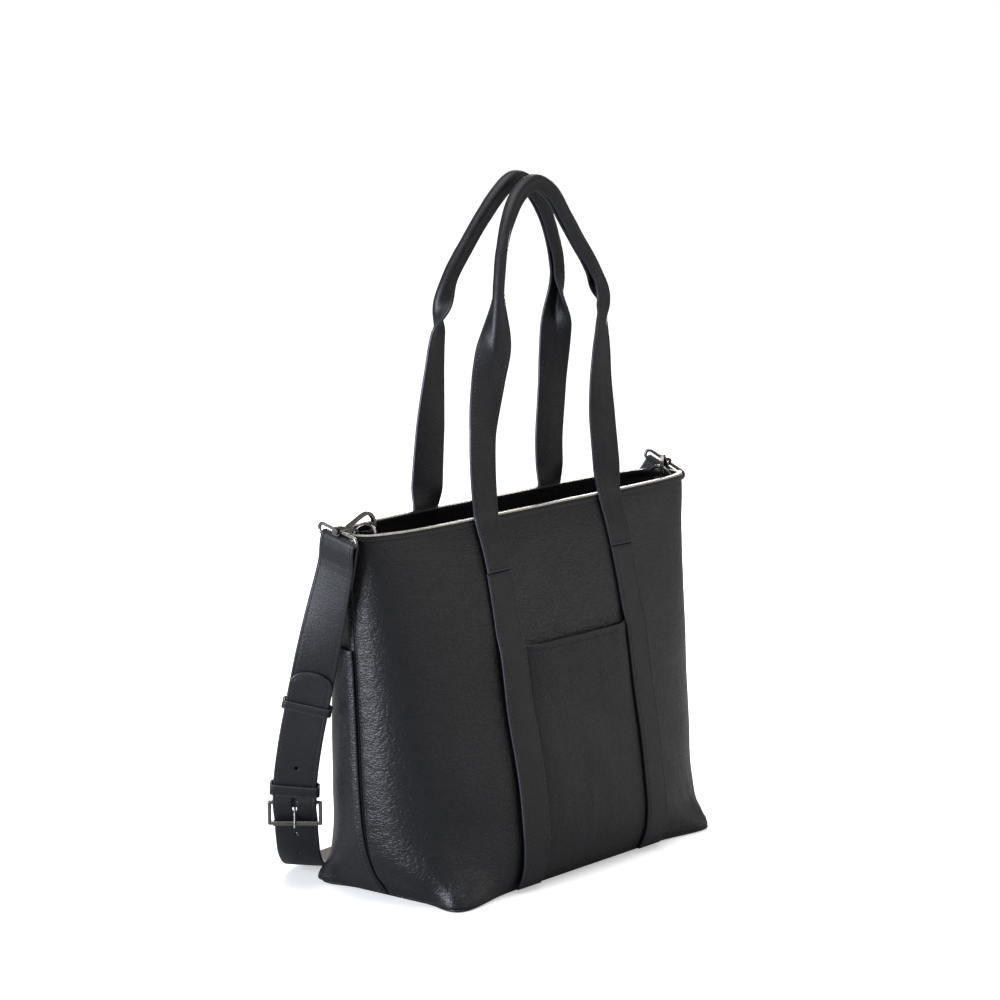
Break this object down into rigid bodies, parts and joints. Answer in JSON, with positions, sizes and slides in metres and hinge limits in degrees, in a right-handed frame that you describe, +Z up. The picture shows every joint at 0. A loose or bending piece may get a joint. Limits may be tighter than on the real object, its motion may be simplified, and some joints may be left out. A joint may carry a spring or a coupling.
{
  "type": "diaper bag",
  "caption": "Soft leather tote diaper bag with two shoulder handles, outer and inner pockets, and a cross-body strap clipped to rings at both ends of the rim.",
  "frame": {"origin": "middle of the base, on the surface that the bag stands on", "axes": "+X along the bag's width, the front faces -Y, +Z up"},
  "size_m": [0.5082, 0.2401, 0.6211],
  "materials": {
    "black_leather": "pebbled vegan leather, semi-gloss",
    "lining_fabric": "woven polyester",
    "zip_tape": "zip tape with moulded teeth",
    "base_board": "matt board",
    "gunmetal": "polished gunmetal plating"
  },
  "bodies": {
    "root": {"bottom_panel": "black_leather", "base_board": "base_board", "front_panel": "black_leather", "back_panel": "black_leather", "rim_binding": "black_leather", "top_facing": "black_leather", "lining": "lining_fabric", "front_pocket": "black_leather", "back_pocket": "black_leather", "front_left_strip": "black_leather", "front_right_strip": "black_leather", "back_left_strip": "black_leather", "back_right_strip": "black_leather", "front_handle_ends": "black_leather", "back_handle_ends": "black_leather", "inner_slip_pockets": "lining_fabric", "inner_zip_pocket": "lining_fabric", "zip_tape": "zip_tape", "snap_stud": "gunmetal", "snap_socket": "gunmetal", "left_ring_tab": "black_leather", "right_ring_tab": "black_leather", "left_strap_loop": "gunmetal", "right_strap_loop": "gunmetal", "buckle_strap": "black_leather", "long_strap": "black_leather", "fixed_keeper": "black_leather", "buckle_frame": "gunmetal"},
    "front_handle": {"front_handle": "black_leather"},
    "back_handle": {"back_handle": "black_leather"},
    "zip_slider": {"zip_slider": "gunmetal"},
    "zip_pull": {"zip_pull": "gunmetal"},
    "left_ring": {"left_d_ring": "gunmetal"},
    "right_ring": {"right_d_ring": "gunmetal"},
    "left_hook": {"left_snap_claw": "gunmetal", "left_gate_pin": "gunmetal"},
    "right_hook": {"right_snap_claw": "gunmetal", "right_gate_pin": "gunmetal"},
    "left_gate": {"left_snap_gate": "gunmetal"},
    "right_gate": {"right_snap_gate": "gunmetal"},
    "sliding_keeper": {"sliding_keeper": "black_leather"},
    "buckle_roller": {"buckle_roller": "gunmetal"},
    "buckle_prong": {"buckle_prong": "gunmetal"}
  },
  "joints": [
    {"name": "front_handle_fold", "type": "hinge", "parent": "root", "child": "front_handle", "pos_m": [0, -0.0314, 0.331], "axis": [1, 0, 0], "range_deg": [0, 150]},
    {"name": "back_handle_fold", "type": "hinge", "parent": "root", "child": "back_handle", "pos_m": [0, 0.0374, 0.331], "axis": [-1, 0, 0], "range_deg": [0, 150]},
    {"name": "left_ring_swing", "type": "hinge", "parent": "root", "child": "left_ring", "pos_m": [-0.214, 0.0003, 0.317], "axis": [0, 1, 0], "range_deg": [-18, 4]},
    {"name": "right_ring_swing", "type": "hinge", "parent": "root", "child": "right_ring", "pos_m": [0.214, 0.0003, 0.317], "axis": [0, -1, 0], "range_deg": [-12, 2]},
    {"name": "left_hook_swivel", "type": "hinge", "parent": "root", "child": "left_hook", "pos_m": [-0.24, 0, 0.3326], "axis": [0.9998, 0, 0.0175], "range_deg": [-15, 15]},
    {"name": "right_hook_swivel", "type": "hinge", "parent": "root", "child": "right_hook", "pos_m": [0.2368, 0.013, 0.3326], "axis": [-0.8659, -0.4999, 0.0175], "range_deg": [-10, 10]},
    {"name": "left_gate_open", "type": "hinge", "parent": "left_hook", "child": "left_gate", "pos_m": [-0.23048, 0, 0.33157], "axis": [0, -1, 0], "range_deg": [0, 4], "stiffness_Nm_per_rad": 0.02, "springref_deg": -11.46},
    {"name": "right_gate_open", "type": "hinge", "parent": "right_hook", "child": "right_gate", "pos_m": [0.22856, 0.00824, 0.33157], "axis": [-0.5, 0.866, 0], "range_deg": [0, 4], "stiffness_Nm_per_rad": 0.02, "springref_deg": -11.46},
    {"name": "keeper_slide", "type": "slide", "parent": "root", "child": "sliding_keeper", "axis": [0.0479, 0.2843, -0.9575], "range_m": [-0.02, 0.02]},
    {"name": "prong_lift", "type": "hinge", "parent": "root", "child": "buckle_prong", "pos_m": [-0.22958, 0.06755, 0.08341], "axis": [-0.6155, 0.7881, -0.0008], "range_deg": [0, 90]},
    {"name": "roller_spin", "type": "hinge", "parent": "root", "child": "buckle_roller", "pos_m": [-0.22858, 0.06831, 0.06433], "axis": [0.6155, -0.7881, 0.0008], "continuous": true},
    {"name": "zip_slide", "type": "slide", "parent": "root", "child": "zip_slider", "axis": [1, 0, 0], "range_m": [0, 0.142]},
    {"name": "zip_pull_swing", "type": "hinge", "parent": "zip_slider", "child": "zip_pull", "pos_m": [-0.071, 0.04516, 0.243], "axis": [-1, 0, 0], "range_deg": [-10, 150]}
  ]
}
